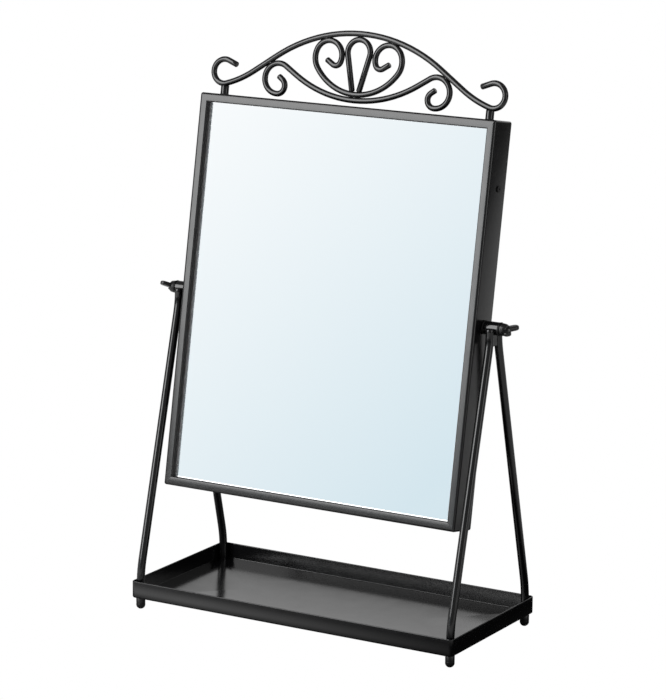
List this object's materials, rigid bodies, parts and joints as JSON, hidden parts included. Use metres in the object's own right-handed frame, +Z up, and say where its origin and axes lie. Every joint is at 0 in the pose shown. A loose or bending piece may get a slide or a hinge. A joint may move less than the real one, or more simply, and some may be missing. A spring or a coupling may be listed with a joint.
{
  "type": "countertop mirror",
  "caption": "Tilting rectangular mirror with a scrolled wire crest, held by wing screws between bent wire legs in a shallow tray.",
  "frame": {"origin": "centre of the tray's footprint at table level, under the four foot caps", "axes": "+X to the mirror's right seen from the front, +Y to the back, +Z up; the glass faces -Y and leans back"},
  "size_m": [0.2926, 0.1264, 0.43],
  "materials": {
    "powder_coated_sheet": "semi-gloss black powder coat on sheet steel",
    "powder_coated_wire": "semi-gloss black powder coat on steel wire",
    "wing_screw_coat": "satin black coat on cast steel",
    "cap_plastic": "satin moulded plastic",
    "fibre": "matt pressed fibre",
    "black_steel": "black oxide",
    "zinc_steel": "bright zinc plate",
    "silvered_glass": "polished float glass silvered on its back",
    "foam": "closed-cell foam tape",
    "hardboard": "pressed hardboard",
    "pine": "sawn softwood",
    "back_board": "black-faced hardboard"
  },
  "bodies": {
    "stand": {"tray": "powder_coated_sheet", "leg_front_left": "powder_coated_wire", "leg_front_right": "powder_coated_wire", "leg_back_left": "powder_coated_wire", "leg_back_right": "powder_coated_wire", "foot_cap_front_left": "cap_plastic", "foot_cap_front_right": "cap_plastic", "foot_cap_back_left": "cap_plastic", "foot_cap_back_right": "cap_plastic", "pivot_lug_left": "powder_coated_wire", "pivot_lug_right": "powder_coated_wire", "fibre_washer_left": "fibre", "fibre_washer_right": "fibre"},
    "mirror": {"mirror_frame": "powder_coated_sheet", "mirror_glass": "silvered_glass", "foam_tape": "foam", "backing_board": "hardboard", "side_battens": "pine", "back_panel": "back_board", "panel_screws": "zinc_steel", "side_screws": "black_steel", "pivot_nut_left": "zinc_steel", "pivot_nut_right": "zinc_steel", "crest_arch": "powder_coated_wire", "crest_swag": "powder_coated_wire", "crest_heart": "powder_coated_wire", "crest_teardrop": "powder_coated_wire", "crest_post_left": "powder_coated_wire", "crest_post_right": "powder_coated_wire"},
    "washer_left": {"steel_washer_left": "black_steel"},
    "washer_right": {"steel_washer_right": "black_steel"},
    "wing_screw_left_turning": {"wing_screw_left": "wing_screw_coat"},
    "wing_screw_right_turning": {"wing_screw_right": "wing_screw_coat"}
  },
  "joints": [
    {"name": "mirror_tilt", "type": "hinge", "parent": "stand", "child": "mirror", "pos_m": [0, 0, 0.2331], "axis": [-1, 0, 0], "continuous": true},
    {"name": "screw_travel_right", "type": "slide", "parent": "mirror", "child": "washer_right", "axis": [1, 0, 0], "range_m": [0, 0.0007]},
    {"name": "screw_turn_right", "type": "hinge", "parent": "washer_right", "child": "wing_screw_right_turning", "pos_m": [0.139, 0, 0.2331], "axis": [1, 0, 0], "range_deg": [0, 360]},
    {"name": "screw_travel_left", "type": "slide", "parent": "mirror", "child": "washer_left", "axis": [-1, 0, 0], "range_m": [0, 0.0007]},
    {"name": "screw_turn_left", "type": "hinge", "parent": "washer_left", "child": "wing_screw_left_turning", "pos_m": [-0.139, 0, 0.2331], "axis": [-1, 0, 0], "range_deg": [0, 360]}
  ],
  "couplings": [
    {"joint": "screw_turn_right", "follows": "screw_travel_right", "rad_per_m": 8976},
    {"joint": "screw_turn_left", "follows": "screw_travel_left", "rad_per_m": 8976}
  ]
}
